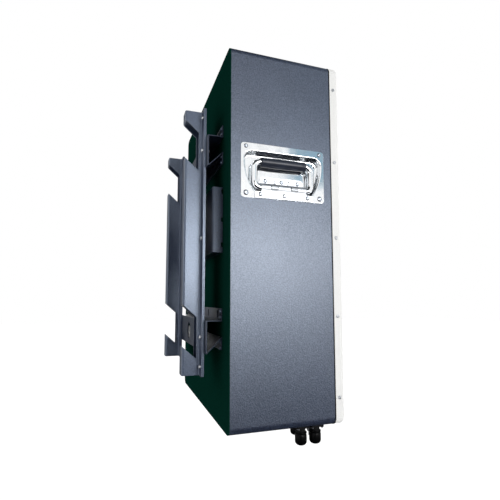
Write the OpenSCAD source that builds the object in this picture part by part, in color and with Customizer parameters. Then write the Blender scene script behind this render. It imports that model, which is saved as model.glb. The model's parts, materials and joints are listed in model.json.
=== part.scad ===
// Wall-hung battery box: a folded steel case with a white front cover, a chrome recessed
// handle on each side, sockets underneath and a welded bracket with two notched hook rails.
// Everything is drawn in the box frame: x across, y = 0 on the back panel and positive
// towards the wall, z = 0 on the underside. place() then moves it to the wall frame, whose
// origin lies on the wall plane at the centre of the four hook notches.

/* [Case] */
// Width across the two handle sides
case_w = 464; // [450:1:520]
// Height of the case
case_h = 700; // [690:1:800]
// Depth of the dark sleeve, from the back panel to the cover seam
case_d = 204; // [204:1:240]
// Sheet thickness of the sleeve, back panel and cover
sheet = 1.5; // [1.2:0.1:1.8]
// Outside radius of the sleeve's four long bends
bend_r = 14; // [10:1:20]

/* [Front cover] */
// Depth of the cover's side wall
cover_d = 21; // [20:1:25]
// Radius of the cover's front edge
cover_edge_r = 7; // [4:0.5:7]
// Distance between the cover screws
cover_screw_pitch = 150; // [120:5:155]
// Width of the display window
window_w = 110; // [80:1:140]
// Height of the display window
window_h = 64; // [40:1:90]
// Height of the window's centre above the underside
window_z = 560; // [450:5:600]

/* [Handles] */
// Length of the chrome plate
plate_w = 168; // [166:1:180]
// Height of the chrome plate
plate_h = 102; // [100:1:120]
// Distance of the plate's centre in front of the back panel
handle_depth = 104; // [95:1:110]
// Height of the plate's centre above the underside
handle_z = 466; // [400:1:540]
// Diameter of the bail rod
rod_d = 12; // [10:0.5:12]
// Diameter of the rubber grip
grip_d = 19; // [16:0.5:19]
// Distance from the hinge axis to the grip's axis
bail_reach = 48; // [44:1:50]

/* [Hook rails] */
// Distance of a rail's inner wall from the middle
rail_inner = 118; // [115:1:122]
// Distance of a rail's outer wall from the middle
rail_outer = 148; // [145:1:152]
// Distance from the back panel to the wall plane
rail_back = 68; // [60:1:80]
// Height of the rails' lower ends
rail_low = 90; // [60:1:110]
// Height of the rails' upper ends
rail_high = 604; // [595:1:640]
// Height of the lower notch's lower edge at the wall
notch_low = 144; // [130:1:160]
// Clear height of a notch
notch_h = 78; // [60:1:90]
// Distance between the two notches
notch_pitch = 364; // [340:1:370]
// Drop of the notch's slanted edges from wall to front
notch_drop = 24; // [15:1:28]

/* [Cross members] */
// Length of the cross members and the tray
member_w = 366; // [362:1:372]
// Height of the lower cross member's rear flange
lower_member_z = 133; // [120:1:140]
// Height of the upper cross member's rear flange
upper_member_z = 485; // [470:1:495]
// Diameter of the hole in the middle of a cross member
member_hole_d = 37; // [25:1:45]

/* [Sockets] */
// Distance of the two power sockets from the middle
socket_x = 203; // [190:1:204]
// Distance of the first power socket in front of the back panel
socket_depth = 147; // [120:0.5:160]
// Distance between the two power sockets
socket_pitch = 29.5; // [28:0.5:34]
// Length of a socket below the case
socket_drop = 37; // [32:1:50]

/* [Cells] */
// Cells in one stack
cells_per_stack = 8; // [6:1:8]
// Width of a cell
cell_w = 174; // [160:1:176]
// Thickness of a cell
cell_t = 54; // [50:1:54]
// Length of a cell without its posts
cell_l = 198; // [180:1:198]

/* [Hidden] */
$fn = 48;

gap = 0.2;
back_y = -sheet;
cover_front = -case_d - cover_d;

// Seam between sleeve and cover
seal_t = 1.5;
tongue_in = sheet + gap;
tongue_l = cover_d - cover_edge_r - gap;
cover_back = -case_d - seal_t;
cover_screw_y = -case_d - 9.5;
cover_screw_d = 4;
cover_head_d = 7;
cover_head_h = 2;
window_r = 6;
window_flange = 4;
window_t = 1.5;
board_t = 8;

// Handle frame: x along the depth, y up, z out of the side of the case
plate_t = 1.2;
plate_r = 6;
dish_depth = 12.5;
dish_top = 36;
dish_low = 39;
dish_half = 77;
dish_corner = 15;
dish_side_r = 100;
dish_side_y = dish_top - dish_corner;
axis_y = -30;
axis_z = -2.5;
arm_x = 57.5;
arm_corner = 12;
stub_in = 3;
stub_x = arm_x - arm_corner;
grip_l = 2 * stub_x;
barrel_r = 8;
barrel_half = 45;
bore_gap = 0.05;
leaf_t = 2;
leaf_half = plate_w / 2 - 26;
leaf_low = -plate_h / 2 + 0.5;
leaf_top = -38.5;
back_leaf_t = 2.5;
back_leaf_half = 44;
back_leaf_top = -7;
rivet_d = 4;
rivet_head_h = 1.4;
rivet_tail = 1.5;
corner_rivets = [[74.5, 44.5, 7], [74.5, -42.5, 9]];
front_rivet_y = -44;
front_rivet_x = [-47.5, 0, 47.5];
back_rivet_y = -14;
back_rivet_x = [-33, 0, 33];

// Torsion springs on the bail stubs
wire_r = 1;
coil_r = 7.6;
coil_turns = 4;
coil_pitch = 3;
coil_x = 14;
coil_rings = 8;
wire_sides = 6;
leg_angle = 15;
leg_l = 10;
leg_hook = [0, 2.4, -0.6];
window_in = coil_x - wire_r - 0.6;
window_out = coil_x + coil_turns * coil_pitch + wire_r + 0.6;

// Hook rails and mounting strips
rail_sheet = 2.5;
rail_bend_r = 4;
rail_fillet = 3;
lip_w = 20;
strip_t = 2.5;
strip_inner = rail_inner - lip_w;
strip_outer = rail_outer + lip_w;
member_t = 2;
member_back = 30;
strip_front = member_back;
lip_front = strip_front + strip_t;
lip_back = lip_front + rail_sheet;
notch_front = lip_back + 6;
hook_z = notch_low + notch_h / 2 + notch_pitch / 2;

// Cross members, measured up from the rear flange's lower edge
member_h = 60;
ear_h = 22;
ear_slot_x = [76, 153];
ear_slot_w = 7;
ear_slot_h = 14;
foot_x = 177;
foot_low = [9, 20];
foot_high = [65.5, 76.5];
foot_d = 4;
foot_head_d = 7;
foot_head_h = 2.2;
tray_low = 319;
tray_h = 125;
tray_depth = 20;
tray_r = 2.5;
tray_gap_rise = [15, 63, 117];
tray_gap_h = 9;
tray_gap_w = 3;
bolt_x = rail_outer + lip_w / 2 + 1;
bolt_d = 5;
bolt_head_d = 8;
bolt_head_h = 3;
nut_w = 8;
nut_h = 4;
bolt_tail = 2;
member_bolt_z = [lower_member_z + 28, upper_member_z + 36];
strip_bolt_z = [107, 348, 587];

// Sockets, stud and button under the case
socket_flange = 26;
socket_flange_t = 5;
neck_d = 17;
neck_l = 20;
socket_rear_d = 16;
socket_rear_l = 25;
cap_d = 22;
cap_nose_r = 7;
cap_rib = 0.8;
cap_rib_w = 2;
cap_top = -12.5;
signal_x = -150;
signal_y = -socket_depth - socket_pitch / 2;
socket_screw_at = 9.8;
socket_screw_d = 3;
socket_head_d = 5;
socket_head_h = 2.8;
power_sockets = [for (k = [0, 1]) [-socket_x, -socket_depth - k * socket_pitch]];
sockets = concat(power_sockets, [[signal_x, signal_y]]);
stud_at = [-172, -182];
stud_d = 6;
stud_drop = 33;
stud_relief_d = 5;
stud_rise = 12;
stud_nut_w = 10;
stud_nut_z = [-5, -25, sheet];
stud_nut_h = 5;
button_at = [-90, -162];
button_flange_d = 22;
button_flange_t = 2.5;
button_body_d = 18.8;
button_body_l = 20;
button_nut_w = 23;
button_nut_h = 4;
plunger_d = 13;
plunger_show = 2.5;
plunger_in = 4;
plunger_bore_in = 8;

// Cells and what carries them
stack_x = cell_w / 2 + 3;
shelf_t = 2;
shelf_z = 142;
shelf_half = 184;
shelf_lip = 20;
pad_t = 3;
pad_l = 24;
end_plate_t = 6;
separator_t = 1;
insulation_t = 1.5;
cell_back = back_y - insulation_t;
cell_front = cell_back - cell_l;
cell_pitch = cell_t + separator_t;
cell_low = shelf_z + pad_t + end_plate_t;
cell_high = cell_low + cells_per_stack * cell_pitch - separator_t;
post_d = 14;
post_h = 3;
post_x = 60;
strap_t = 0.8;
strap_w = 16;
strap_y = [cell_back - 50, cell_front + 45];
pad_y = [cell_back - 18, (cell_back + cell_front) / 2, cell_front + 18];
busbar_t = 2;
busbar_w = 22;
heat_plate_w = 320;
heat_plate_low = 25;
heat_plate_h = 85;
heat_base_t = 4;
heat_fin_t = 3;
heat_fin_h = 8;
heat_fins = 12;
board_w = 300;
board_h = 74;
pcb_t = 2;
spacer_d = 7;
spacer_l = 12;
fuse_at = [90, -110];
fuse_base = [90, 36, 16];

function cell_z(k) = cell_low + k * cell_pitch;

module place() {
  translate([0, -rail_back, -hook_z])
    children();
}

// Flat shapes
module rounded_rect(w, h, r) {
  square([w - 2 * r, h], center = true);
  square([w, h - 2 * r], center = true);
  for (sx = [-1, 1], sy = [-1, 1])
    translate([sx * (w / 2 - r), sy * (h / 2 - r)])
      circle(r);
}

module frame_ring(w, h, r, t) {
  difference() {
    rounded_rect(w, h, r);
    rounded_rect(w - 2 * t, h - 2 * t, r - t);
  }
}

// Extrusions along the three axes
module along_y(y0, y1) {
  translate([0, y1, 0])
    rotate([90, 0, 0])
      linear_extrude(y1 - y0)
        children();
}

module along_x(x0, x1) {
  translate([x0, 0, 0])
    rotate([90, 0, 90])
      linear_extrude(x1 - x0)
        children();
}

module along_z(z0, z1) {
  translate([0, 0, z0])
    linear_extrude(z1 - z0)
      children();
}

// A round bar along x or y
module bar_x(x0, x1, d) {
  translate([x0, 0, 0])
    rotate([0, 90, 0])
      cylinder(h = x1 - x0, d = d);
}

module bar_y(y0, y1, d) {
  translate([0, y1, 0])
    rotate([90, 0, 0])
      cylinder(h = y1 - y0, d = d);
}

// A low domed head on z = 0
module domed_head(d, h) {
  dome_r = (d * d / 4 + h * h) / (2 * h);
  intersection() {
    cylinder(h = h, d = d);
    translate([0, 0, h - dome_r])
      sphere(dome_r, $fn = 64);
  }
}

module hex_nut(w, h, bore) {
  difference() {
    cylinder(h = h, d = w / cos(30), $fn = 6);
    translate([0, 0, -1])
      cylinder(h = h + 2, d = bore);
  }
}

// Places a child, drawn in the handle frame, on the right (1) or left (-1) side
module on_side(side) {
  mirror([side < 0 ? 1 : 0, 0, 0])
    translate([case_w / 2, -handle_depth, handle_z])
      rotate([90, 0, 90])
        children();
}

// Sleeve folded from one sheet, with a joggled tongue that the cover slides over
module case_wrap() {
  color("#3a414c")
    difference() {
      translate([0, 0, case_h / 2])
        union() {
          along_y(-case_d, back_y)
            frame_ring(case_w, case_h, bend_r, sheet);
          along_y(-case_d, -case_d + sheet)
            frame_ring(case_w, case_h, bend_r, tongue_in + sheet);
          along_y(-case_d - tongue_l, -case_d + sheet)
            frame_ring(case_w - 2 * tongue_in, case_h - 2 * tongue_in, bend_r - tongue_in, sheet);
        }
      for (side = [-1, 1])
        on_side(side) {
          translate([0, 0, -dish_depth])
            linear_extrude(2 * dish_depth)
              dish_outline(plate_t + gap, dish_low + plate_t + gap);
          at_handle_rivets()
            translate([0, 0, -dish_depth])
              cylinder(h = 2 * dish_depth, d = rivet_d + gap);
        }
      at_cover_screws()
        translate([0, 0, -tongue_l])
          cylinder(h = 2 * tongue_l, d = cover_screw_d + 2 * gap);
      for (at = sockets)
        translate([at[0], at[1], -1])
          cylinder(h = sheet + 2, d = neck_d + gap);
      translate([stud_at[0], stud_at[1], -1])
        cylinder(h = sheet + 2, d = stud_d + gap);
      translate([button_at[0], button_at[1], -1])
        cylinder(h = sheet + 2, d = button_body_d + gap);
      at_socket_screws()
        translate([0, 0, -1])
          cylinder(h = sheet + 2, d = socket_screw_d + gap);
    }
}

module back_panel() {
  color("#10211f")
    difference() {
      translate([0, 0, case_h / 2])
        along_y(back_y, 0)
          rounded_rect(case_w, case_h, bend_r);
      at_member_screws()
        bar_y(back_y - 1, 1, foot_d + gap);
    }
}

// A tray block with a rounded front edge, open towards y1
module tray_block(w, h, r, edge_r, y0, y1) {
  along_y(y0, y1)
    rounded_rect(w - 2 * edge_r, h - 2 * edge_r, r - edge_r);
  along_y(y0 + edge_r, y1)
    rounded_rect(w, h, r);
  for (s = [-1, 1]) {
    translate([-w / 2 + r, y0 + edge_r, s * (h / 2 - edge_r)])
      bar_x(0, w - 2 * r, 2 * edge_r);
    translate([s * (w / 2 - edge_r), y0 + edge_r, -h / 2 + r])
      cylinder(h = h - 2 * r, r = edge_r);
    for (t = [-1, 1])
      translate([s * (w / 2 - r), y0 + edge_r, t * (h / 2 - r)])
        rotate([90, 0, 0])
          rotate_extrude()
            corner_section(r, edge_r);
  }
}

module corner_section(r, edge_r) {
  square([r - edge_r, edge_r]);
  translate([r - edge_r, 0])
    intersection() {
      circle(edge_r);
      square(edge_r);
    }
}

module front_cover() {
  color("#f6f6f3")
    difference() {
      translate([0, 0, case_h / 2])
        difference() {
          tray_block(case_w, case_h, bend_r, cover_edge_r, cover_front, cover_back);
          tray_block(case_w - 2 * sheet, case_h - 2 * sheet, bend_r - sheet, cover_edge_r - sheet,
                     cover_front + sheet, cover_back + 1);
        }
      at_cover_screws()
        translate([0, 0, -tongue_l])
          cylinder(h = 2 * tongue_l, d = cover_screw_d + 2 * gap);
      translate([0, 0, window_z])
        along_y(cover_front - 1, cover_front + sheet + 1)
          rounded_rect(window_w, window_h, window_r);
    }
}

module cover_seal() {
  color("#141414")
    translate([0, 0, case_h / 2])
      along_y(cover_back, -case_d)
        frame_ring(case_w - 2 * gap, case_h - 2 * gap, bend_r - gap, tongue_in - gap);
}

// Screws through the cover's side walls, with z pointing out of the case
module at_cover_screws() {
  side_screws = floor((case_h - 90) / cover_screw_pitch);
  for (k = [0 : side_screws], s = [-1, 1])
    translate([s * case_w / 2, cover_screw_y, case_h / 2 + (k - side_screws / 2) * cover_screw_pitch])
      rotate([0, s * 90, 0])
        children();
  end_screws = floor((case_w - 90) / cover_screw_pitch);
  for (k = [0 : end_screws], s = [0, 1])
    translate([(k - end_screws / 2) * cover_screw_pitch, cover_screw_y, s * case_h])
      rotate([180 - s * 180, 0, 0])
        children();
}

module cover_screws() {
  color("#d8d9da")
    at_cover_screws() {
      domed_head(cover_head_d, cover_head_h);
      translate([0, 0, -7])
        cylinder(h = 7.5, d = cover_screw_d);
    }
}

module display_window() {
  color("#101214")
    translate([0, 0, window_z]) {
      along_y(cover_front, cover_front + sheet)
        rounded_rect(window_w - 2 * gap, window_h - 2 * gap, window_r - gap);
      along_y(cover_front + sheet, cover_front + sheet + window_t)
        rounded_rect(window_w + 2 * window_flange, window_h + 2 * window_flange, window_r);
    }
}

module display_board() {
  color("#1d5a3a")
    translate([0, 0, window_z])
      along_y(cover_front + sheet + window_t, cover_front + sheet + window_t + board_t)
        square([window_w, window_h], center = true);
}

// Outline of the dish mouth, grown outwards by g: bowed sides above a straight foot at -low,
// then a straight head between two round corners
module dish_outline(g, low) {
  intersection() {
    translate([-plate_w, -low])
      square([2 * plate_w, low + dish_side_y]);
    translate([-(dish_side_r - dish_half), dish_side_y])
      circle(dish_side_r + g);
    translate([dish_side_r - dish_half, dish_side_y])
      circle(dish_side_r + g);
  }
  translate([-(dish_half - dish_corner), dish_side_y])
    square([2 * (dish_half - dish_corner), dish_corner + g]);
  for (side = [0, 1])
    mirror([side, 0])
      translate([dish_half - dish_corner, dish_side_y])
        intersection() {
          circle(dish_corner + g);
          square(2 * dish_corner);
        }
}

// Pressed plate: a flat rim, then a dish with straight walls and a flat floor
module dish_pressing() {
  difference() {
    union() {
      linear_extrude(plate_t)
        rounded_rect(plate_w, plate_h, plate_r);
      translate([0, 0, -dish_depth - plate_t])
        linear_extrude(dish_depth + plate_t + plate_t / 2)
          dish_outline(plate_t, dish_low + plate_t);
    }
    translate([0, 0, -dish_depth])
      linear_extrude(2 * dish_depth)
        dish_outline(0, dish_low);
  }
}

module handle_dish(side) {
  color("#dfe3e8")
    on_side(side)
      difference() {
        dish_pressing();
        at_handle_rivets()
          translate([0, 0, -2 * dish_depth])
            cylinder(h = 3 * dish_depth, d = rivet_d + gap);
      }
}

module at_corner_rivets() {
  for (rivet = corner_rivets, s = [-1, 1])
    translate([s * rivet[0], rivet[1], 0])
      children();
}

module at_front_rivets() {
  for (x = front_rivet_x)
    translate([x, front_rivet_y, 0])
      children();
}

module at_back_rivets() {
  for (x = back_rivet_x)
    translate([x, back_rivet_y, 0])
      children();
}

module at_handle_rivets() {
  at_corner_rivets()
    children();
  at_front_rivets()
    children();
  at_back_rivets()
    children();
}

module rivet(head_d, grip) {
  domed_head(head_d, rivet_head_h);
  translate([0, 0, -grip - rivet_tail])
    cylinder(h = grip + rivet_tail + rivet_head_h / 2, d = rivet_d);
}

module handle_rivets() {
  color("#c9cdd3")
    for (side = [-1, 1])
      on_side(side) {
        for (at = corner_rivets, s = [-1, 1])
          translate([s * at[0], at[1], plate_t])
            rivet(at[2], plate_t + sheet);
        at_front_rivets()
          translate([0, 0, plate_t + leaf_t])
            rivet(7, leaf_t + plate_t + sheet);
        at_back_rivets()
          translate([0, 0, back_leaf_t - dish_depth])
            rivet(7, back_leaf_t + plate_t);
      }
}

// Hinge plate wrapped round the bail: front leaf, barrel with two spring windows, back leaf
module hinge_blank() {
  translate([-leaf_half, leaf_low, plate_t])
    cube([2 * leaf_half, leaf_top - leaf_low, leaf_t]);
  translate([-barrel_half, leaf_top - 1, plate_t])
    cube([2 * barrel_half, axis_y - leaf_top + 1, leaf_t]);
  translate([-back_leaf_half, axis_y, -dish_depth])
    cube([2 * back_leaf_half, back_leaf_top - axis_y, back_leaf_t]);
  translate([0, axis_y, axis_z])
    bar_x(-barrel_half, barrel_half, 2 * barrel_r);
}

module handle_hinge(side) {
  color("#d4d9df")
    on_side(side)
      difference() {
        hinge_blank();
        translate([0, axis_y, axis_z])
          bar_x(-barrel_half - 1, barrel_half + 1, rod_d + 2 * bore_gap);
        for (s = [-1, 1])
          translate([s * (window_in + window_out) / 2, axis_y, axis_z])
            cube([window_out - window_in, 18, 18.5], center = true);
        at_front_rivets()
          translate([0, 0, -1])
            cylinder(h = 6, d = rivet_d + gap);
        at_back_rivets()
          translate([0, 0, -dish_depth - 1])
            cylinder(h = back_leaf_t + 2, d = rivet_d + gap);
      }
}

// Bail bent from one rod: two hinge stubs, two arms and the bar inside the grip
module bail_half() {
  bar_x(stub_in, stub_x, rod_d);
  translate([stub_x, arm_corner, 0])
    rotate([0, 0, -90])
      rotate_extrude(angle = 90)
        translate([arm_corner, 0])
          circle(d = rod_d);
  translate([arm_x, arm_corner, 0])
    rotate([-90, 0, 0])
      cylinder(h = bail_reach - 2 * arm_corner, d = rod_d);
  translate([stub_x, bail_reach - arm_corner, 0])
    rotate_extrude(angle = 90)
      translate([arm_corner, 0])
        circle(d = rod_d);
}

module handle_bail(side) {
  color("#e2e6ea")
    on_side(side)
      translate([0, axis_y, axis_z]) {
        for (side_half = [0, 1])
          mirror([side_half, 0, 0])
            bail_half();
        translate([0, bail_reach, 0])
          bar_x(-stub_x, stub_x, rod_d);
      }
}

module handle_grip(side) {
  color("#17181b")
    on_side(side)
      translate([0, axis_y + bail_reach, axis_z])
        difference() {
          bar_x(-grip_l / 2, grip_l / 2, grip_d);
          bar_x(-grip_l / 2 - 1, grip_l / 2 + 1, rod_d + gap);
        }
}

// Torsion spring: a coil round the stub, then a straight leg with a hook over the back leaf
function coil_point(k) =
  let (turn = k / coil_rings, phi = leg_angle - 90 - 360 * turn)
    [coil_x + coil_pitch * turn, axis_y + coil_r * cos(phi), axis_z + coil_r * sin(phi)];
coil_path = [for (k = [coil_turns * coil_rings : -1 : 0]) coil_point(k)];
leg_start = coil_point(0);
leg_end = leg_start + leg_l * [0, cos(leg_angle), sin(leg_angle)];
spring_path = concat(coil_path, [leg_end, leg_end + leg_hook]);

function unit(v) = v / norm(v);
function path_direction(path, k) =
  unit(path[min(k + 1, len(path) - 1)] - path[max(k - 1, 0)]);
function ring(path, k, r, sides) =
  let (t = path_direction(path, k), a = unit(cross(t, [1, 0, 0])), b = cross(t, a))
    [for (j = [0 : sides - 1]) path[k] + r * (cos(360 * j / sides) * a + sin(360 * j / sides) * b)];
spring_gap = min([for (i = [0 : len(spring_path) - 1], j = [i + coil_rings - 1 : 1 : len(spring_path) - 1])
  norm(spring_path[i] - spring_path[j])]) - 2 * wire_r;
echo(spring_gap = spring_gap);

module swept_tube(path, r, sides) {
  rings = len(path);
  points = [for (k = [0 : rings - 1]) each ring(path, k, r, sides)];
  walls = [for (k = [0 : rings - 2], j = [0 : sides - 1])
    let (a = k * sides + j, b = k * sides + (j + 1) % sides)
      each [[a, a + sides, b], [b, a + sides, b + sides]]];
  last = (rings - 1) * sides;
  start_cap = [for (j = [1 : sides - 2]) [0, j, j + 1]];
  end_cap = [for (j = [1 : sides - 2]) [last, last + j + 1, last + j]];
  polyhedron(points, concat(walls, start_cap, end_cap));
}

module handle_springs(side) {
  color("#8d9096")
    on_side(side)
      for (s = [0, 1])
        mirror([s, 0, 0])
          swept_tube(spring_path, wire_r, wire_sides);
}

// Hat section of a hook rail, x from the middle of the rail, y from the back panel
module rail_section() {
  half = (rail_outer - rail_inner) / 2;
  difference() {
    union() {
      translate([-half, lip_front])
        square([2 * half, rail_back - lip_front - rail_bend_r]);
      translate([-half + rail_bend_r, lip_front])
        square([2 * (half - rail_bend_r), rail_back - lip_front]);
      for (s = [-1, 1])
        translate([s * (half - rail_bend_r), rail_back - rail_bend_r])
          circle(rail_bend_r);
      translate([-half - lip_w, lip_front])
        square([2 * (half + lip_w), rail_sheet]);
      for (s = [0, 1])
        mirror([s, 0])
          translate([half, lip_back])
            difference() {
              translate([-1, -1])
                square(rail_fillet + 1);
              translate([rail_fillet, rail_fillet])
                circle(rail_fillet);
            }
    }
    translate([-half + rail_sheet, lip_front - 1])
      square([2 * (half - rail_sheet), rail_back - rail_sheet - lip_front + 1]);
  }
}

// Slanted notch, y from the back panel and z up
module notch_section() {
  over = 2;
  slope = notch_drop / (rail_back - notch_front);
  polygon([
    [notch_front, -notch_drop], [rail_back + over, over * slope],
    [rail_back + over, notch_h + over * slope], [notch_front, notch_h - notch_drop]
  ]);
}

module hook_rail(side) {
  color("#2c3037")
    difference() {
      translate([side * (rail_inner + rail_outer) / 2, 0, 0])
        along_z(rail_low, rail_high)
          rail_section();
      for (k = [0, 1])
        translate([0, 0, notch_low + k * notch_pitch])
          along_x(side * rail_outer - 60, side * rail_outer + 60)
            notch_section();
      at_bolts(concat(member_bolt_z, strip_bolt_z))
        bar_y(lip_front - 1, lip_back + 1, bolt_d + gap);
    }
}

module mounting_strip(side) {
  color("#23262c")
    difference() {
      translate([side * (strip_inner + strip_outer) / 2, strip_front + strip_t / 2, (rail_low + rail_high) / 2])
        cube([strip_outer - strip_inner, strip_t, rail_high - rail_low], center = true);
      at_bolts(concat(member_bolt_z, strip_bolt_z))
        bar_y(strip_front - 1, lip_front + 1, bolt_d + gap);
    }
}

module at_bolts(heights) {
  for (z = heights, s = [-1, 1])
    translate([s * bolt_x, 0, z])
      children();
}

module bolt(front) {
  translate([0, lip_back, 0])
    rotate([-90, 0, 0])
      domed_head(bolt_head_d, bolt_head_h);
  bar_y(front, lip_back + bolt_head_h / 2, bolt_d);
}

module strip_bolts() {
  color("#c3c6ca") {
    at_bolts(member_bolt_z)
      bolt(strip_front - member_t - nut_h - bolt_tail);
    at_bolts(strip_bolt_z)
      bolt(strip_front);
  }
}

module strip_nuts() {
  color("#b4b7bc")
    at_bolts(member_bolt_z)
      translate([0, strip_front - member_t, 0])
        rotate([90, 0, 0])
          hex_nut(nut_w, nut_h, bolt_d + gap / 2);
}

// Folded section of a cross member: upper ear, flat top, rear flange, slanted underside, lower ear
module member_section() {
  rise = member_back - member_t;
  translate([0, member_h])
    square([member_t, ear_h]);
  translate([0, member_h - member_t])
    square([member_back, member_t]);
  translate([member_back - member_t, 0])
    square([member_t, member_h]);
  polygon([
    [member_back, 0], [member_t / 2, rise + member_t / 2],
    [member_t / 2, rise - member_t], [member_back - member_t, 0]
  ]);
  translate([0, rise - ear_h])
    square([member_t, ear_h + member_t / 2]);
}

module cross_member(low) {
  color("#1b1e22")
    difference() {
      translate([0, 0, low])
        along_x(-member_w / 2, member_w / 2)
          member_section();
      translate([0, 0, low + (member_h - member_t) / 2])
        bar_y(member_back - member_t - 1, member_back + 1, member_hole_d);
      for (x = ear_slot_x, s = [-1, 1])
        translate([s * x, 1, low + member_h + ear_h / 2])
          cube([ear_slot_w, 2 * member_t, ear_slot_h], center = true);
      at_bolts(member_bolt_z)
        bar_y(member_back - member_t - 1, member_back + 1, bolt_d + gap);
      at_member_screws()
        bar_y(-1, member_t + 1, foot_d + gap);
    }
}

module at_member_screws() {
  for (low = [lower_member_z, upper_member_z], rise = concat(foot_low, foot_high), s = [-1, 1])
    translate([s * foot_x, 0, low + rise])
      children();
}

module member_screws() {
  color("#a9adb3")
    at_member_screws() {
      translate([0, member_t, 0])
        rotate([-90, 0, 0])
          domed_head(foot_head_d, foot_head_h);
      bar_y(back_y, member_t + foot_head_h / 2, foot_d);
    }
}

// Shallow tray on the back panel, with weld gaps along the feet of its ends
module back_tray() {
  color("#2b2f37")
    difference() {
      tray_shell(member_w, tray_depth, tray_r, tray_low, tray_low + tray_h);
      tray_shell(member_w - 2 * member_t, tray_depth - member_t, tray_r - member_t,
                 tray_low + member_t, tray_low + tray_h - member_t);
      for (rise = tray_gap_rise, s = [-1, 1])
        translate([s * member_w / 2, 0, tray_low + rise])
          cube([3 * member_t, 2 * tray_gap_w, tray_gap_h], center = true);
    }
}

module tray_shell(w, depth, r, z0, z1) {
  along_z(z0, z1) {
    translate([-w / 2, 0])
      square([w, depth - r]);
    translate([-w / 2 + r, 0])
      square([w - 2 * r, depth]);
    for (s = [-1, 1])
      translate([s * (w / 2 - r), depth - r])
        circle(r);
  }
}

// Panel socket: square flange, neck under the cap and a threaded rear inside the case
module socket(at) {
  color("#121315")
    translate([at[0], at[1], 0])
      difference() {
        union() {
          along_z(-socket_flange_t, 0)
            rounded_rect(socket_flange, socket_flange, 3);
          translate([0, 0, -neck_l])
            cylinder(h = neck_l + sheet, d = neck_d);
          cylinder(h = socket_rear_l, d = socket_rear_d);
        }
        for (sx = [-1, 1], sy = [-1, 1])
          translate([sx * socket_screw_at, sy * socket_screw_at, -socket_flange_t - 1])
            cylinder(h = socket_flange_t + 2, d = socket_screw_d + gap);
      }
}

module at_socket_screws() {
  for (at = sockets, sx = [-1, 1], sy = [-1, 1])
    translate([at[0] + sx * socket_screw_at, at[1] + sy * socket_screw_at, 0])
      children();
}

module socket_screws() {
  color("#d5d8db")
    at_socket_screws() {
      translate([0, 0, -socket_flange_t])
        mirror([0, 0, 1])
          domed_head(socket_head_d, socket_head_h);
      translate([0, 0, -socket_flange_t - socket_head_h / 2])
        cylinder(h = socket_flange_t + socket_head_h / 2 + sheet + 2, d = socket_screw_d);
    }
}

// Sealing cap: blunt nosed, hollow over the neck, with two grip ribs
module socket_caps() {
  round_z = -socket_drop + cap_nose_r;
  color("#0d0e10")
    for (at = sockets)
      translate([at[0], at[1], 0])
        difference() {
          union() {
            translate([0, 0, round_z])
              cylinder(h = cap_top - round_z, d = cap_d);
            translate([0, 0, -socket_drop])
              cylinder(h = cap_nose_r, d = cap_d - 2 * cap_nose_r);
            translate([0, 0, round_z])
              rotate_extrude()
                translate([cap_d / 2 - cap_nose_r, 0])
                  circle(cap_nose_r);
            for (s = [-1, 1])
              translate([s * (cap_d / 2 + cap_rib / 2 - 0.5), 0, (cap_top + round_z) / 2])
                cube([cap_rib + 1, cap_rib_w, cap_top - round_z], center = true);
          }
          translate([0, 0, -neck_l])
            cylinder(h = neck_l, d = neck_d + gap);
        }
}

// Earth stud with a thread relief between the nuts and the free end
module earth_stud() {
  color("#c8ccd0")
    translate([stud_at[0], stud_at[1], 0]) {
      translate([0, 0, stud_nut_z[1]])
        cylinder(h = stud_rise - stud_nut_z[1], d = stud_d);
      translate([0, 0, stud_nut_z[1] - 1])
        cylinder(h = 2, d = stud_relief_d);
      translate([0, 0, -stud_drop])
        cylinder(h = stud_drop + stud_nut_z[1] - 1, d = stud_d);
    }
}

module earth_nuts() {
  color("#cfd3d6")
    translate([stud_at[0], stud_at[1], 0])
      for (z = stud_nut_z)
        translate([0, 0, z])
          hex_nut(stud_nut_w, stud_nut_h, stud_d + gap / 2);
}

module button_body() {
  color("#b9bdc2")
    translate([button_at[0], button_at[1], 0])
      difference() {
        union() {
          translate([0, 0, -button_flange_t])
            cylinder(h = button_flange_t, d = button_flange_d);
          translate([0, 0, -button_flange_t])
            cylinder(h = button_flange_t + button_body_l, d = button_body_d);
        }
        translate([0, 0, -button_flange_t - 1])
          cylinder(h = button_flange_t + 1 + plunger_bore_in, d = plunger_d + 2 * bore_gap);
      }
}

module button_nut() {
  color("#a3a7ac")
    translate([button_at[0], button_at[1], sheet])
      hex_nut(button_nut_w, button_nut_h, button_body_d + gap);
}

module button_plunger() {
  color("#dfe2e5")
    translate([button_at[0], button_at[1], -button_flange_t - plunger_show])
      cylinder(h = button_flange_t + plunger_show + plunger_in, d = plunger_d);
}

// Shelf folded from sheet: seat for the two stacks, front lip and a flange on the back panel
module cell_shelf() {
  color("#3f444c")
    along_x(-shelf_half, shelf_half) {
      translate([cell_front, shelf_z - shelf_t])
        square([back_y - cell_front, shelf_t]);
      translate([cell_front, shelf_z - shelf_lip])
        square([shelf_t, shelf_lip]);
      translate([back_y - shelf_t, shelf_z - shelf_lip])
        square([shelf_t, shelf_lip]);
    }
}

module cell_pads() {
  color("#202224")
    for (s = [-1, 1], y = pad_y)
      translate([s * stack_x, y, shelf_z + pad_t / 2])
        cube([cell_w - 20, pad_l, pad_t], center = true);
}

module cell_block(z, h, front, back) {
  translate([-cell_w / 2, front, z])
    cube([cell_w, back - front, h]);
}

module cell_stack(side) {
  color("#2d5fa0")
    translate([side * stack_x, 0, 0])
      for (k = [0 : cells_per_stack - 1]) {
        cell_block(cell_z(k), cell_t, cell_front, cell_back);
        for (s = [-1, 1])
          translate([s * post_x, 0, cell_z(k) + cell_t / 2])
            bar_y(cell_front - post_h, cell_front + 1, post_d);
      }
}

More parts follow.
